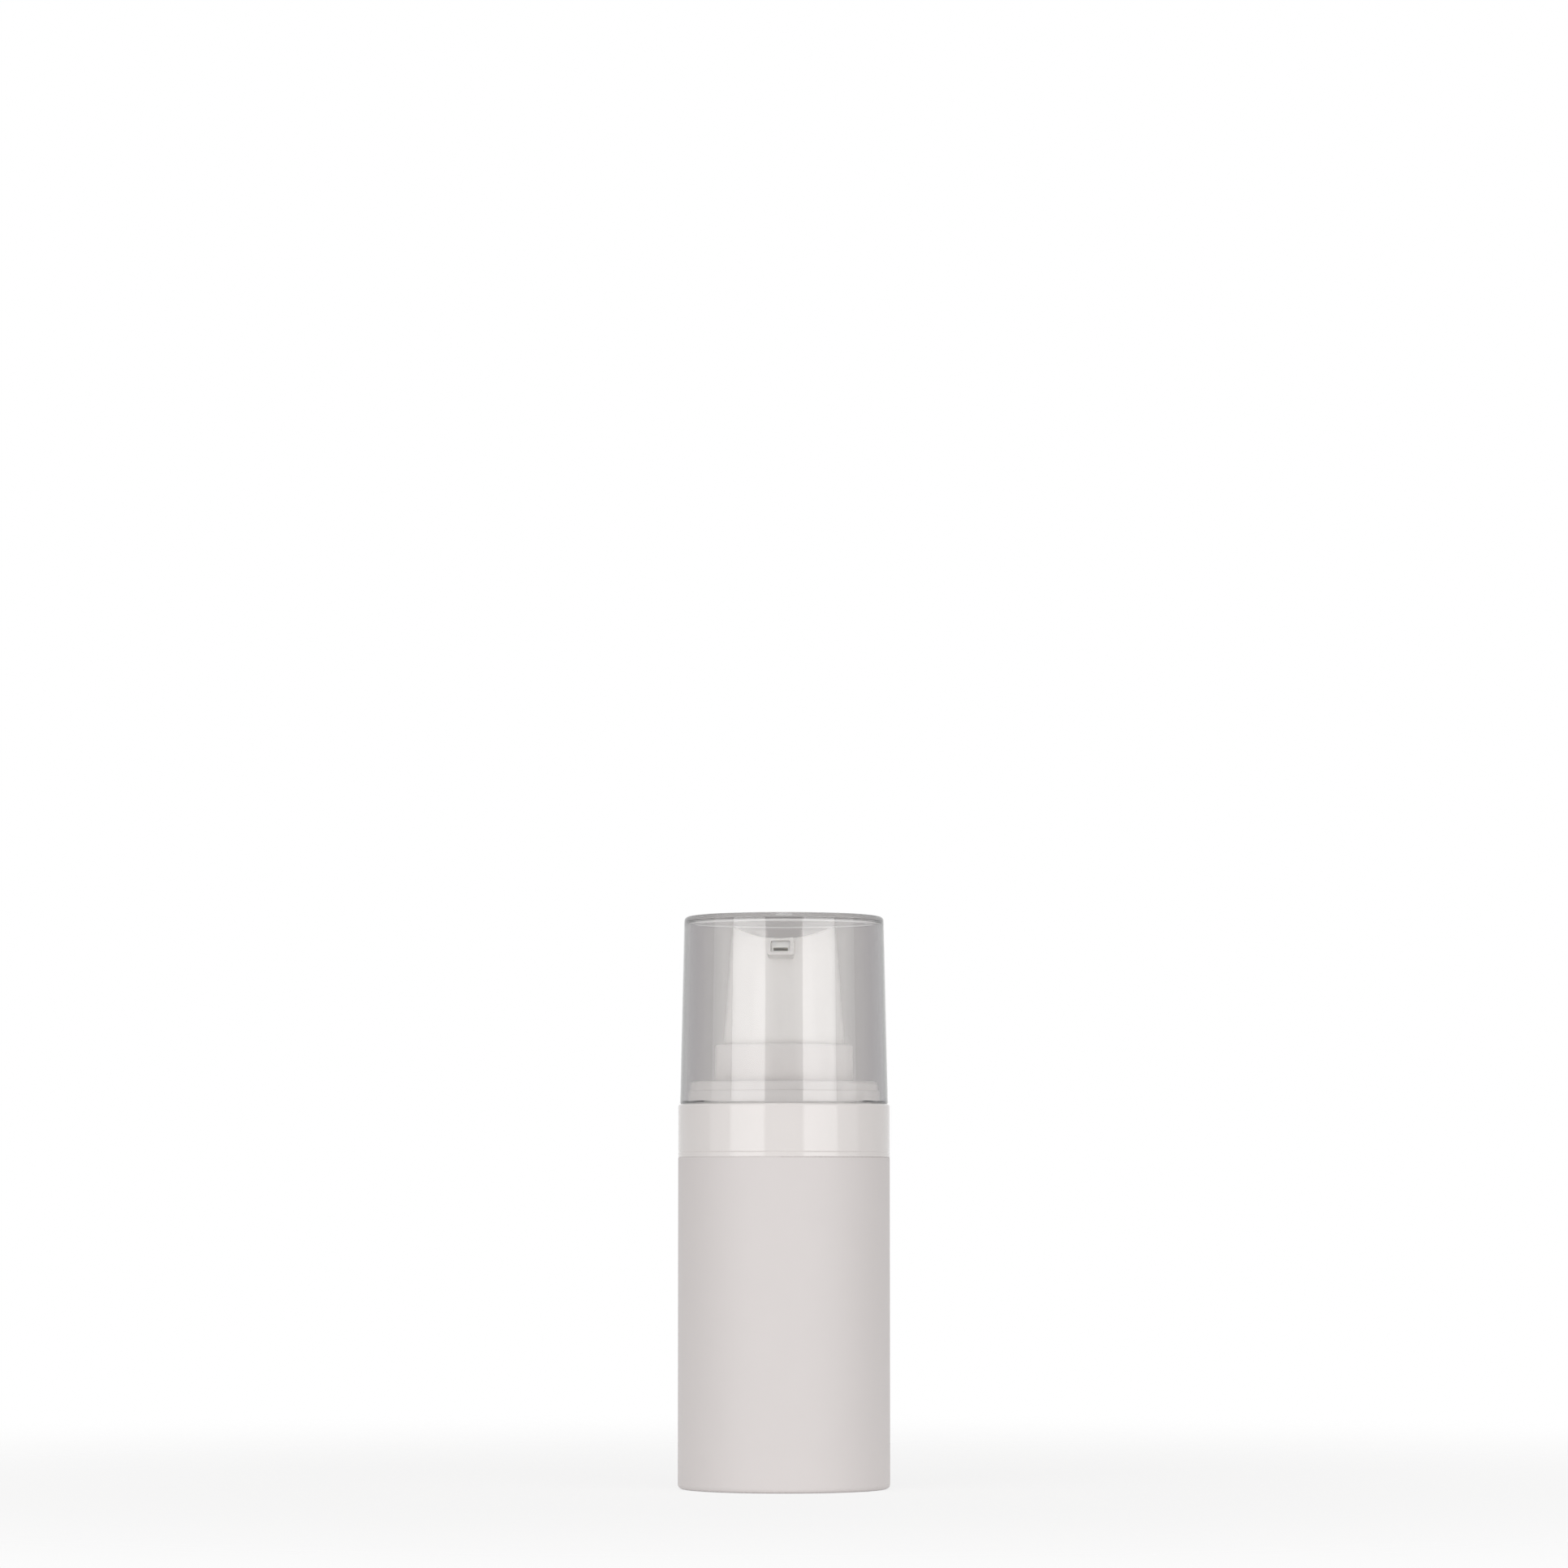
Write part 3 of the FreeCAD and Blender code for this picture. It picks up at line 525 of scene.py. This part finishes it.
def add_light(name, side, span, levels, radiance):
    """A soft upright light that spans two azimuths on one side of the camera, and two heights."""
    outward = towards(CAMERA_AZIMUTH + side * (span[0] + span[1]) / 2)
    height = levels[1] - levels[0]
    width = 2 * LIGHT_DISTANCE * math.tan((span[1] - span[0]) / 2)
    data = bpy.data.lights.new(name, "AREA")
    data.shape = "RECTANGLE"
    data.size = width
    data.size_y = height
    data.energy = radiance * math.pi * width * height
    light = linked(name, data)
    light.location = outward * LIGHT_DISTANCE + Vector((0, 0, sum(levels) / 2))
    light.rotation_euler = outward.to_track_quat("Z", "Y").to_euler()
    light.visible_camera = False
    return light


def make_lights():
    """Two softboxes and the panels beside them, each with an upper part that gloss doesn't show."""
    softbox = ("softbox", SOFTBOX_SPAN, SOFTBOX_RADIANCE)
    panel = ("panel", PANEL_SPAN, PANEL_RADIANCE)
    for side_name, side in (("left", -1), ("right", 1)):
        for kind, span, radiance in (softbox, panel):
            name = f"{side_name}_{kind}"
            add_light(name, side, span, (LIGHT_FOOT, LIGHT_GLOSS_TOP), radiance)
            upper = add_light(name + "_upper", side, span, (LIGHT_GLOSS_TOP, LIGHT_TOP), radiance)
            upper.visible_glossy = False
            # The panels would also show in the ceiling of the cap, which is seen through its roof
            upper.visible_transmission = kind == "softbox"


def make_camera():
    """A long lens at half the bottle's height, tilted up."""
    data = bpy.data.cameras.new("camera")
    data.sensor_width = SENSOR_WIDTH * MILLIMETRES
    data.lens = LENS * MILLIMETRES
    camera = linked("camera", data)
    camera.location = towards(CAMERA_AZIMUTH) * CAMERA_DISTANCE + Vector((0, 0, EYE_HEIGHT))
    aim = Vector((0, 0, AIM_HEIGHT)) - camera.location
    camera.rotation_euler = aim.to_track_quat("-Z", "Y").to_euler()
    bpy.context.scene.camera = camera


dress_nodes()
turned_cap()
squeezed_spring()
make_floor()
make_room()
make_lights()
make_camera()
bpy.context.scene.view_settings.view_transform = "Standard"
bpy.context.scene.cycles.max_bounces = CLEAR_BOUNCES
bpy.context.scene.cycles.transmission_bounces = CLEAR_BOUNCES
bpy.context.scene.cycles.glossy_bounces = CLEAR_BOUNCES
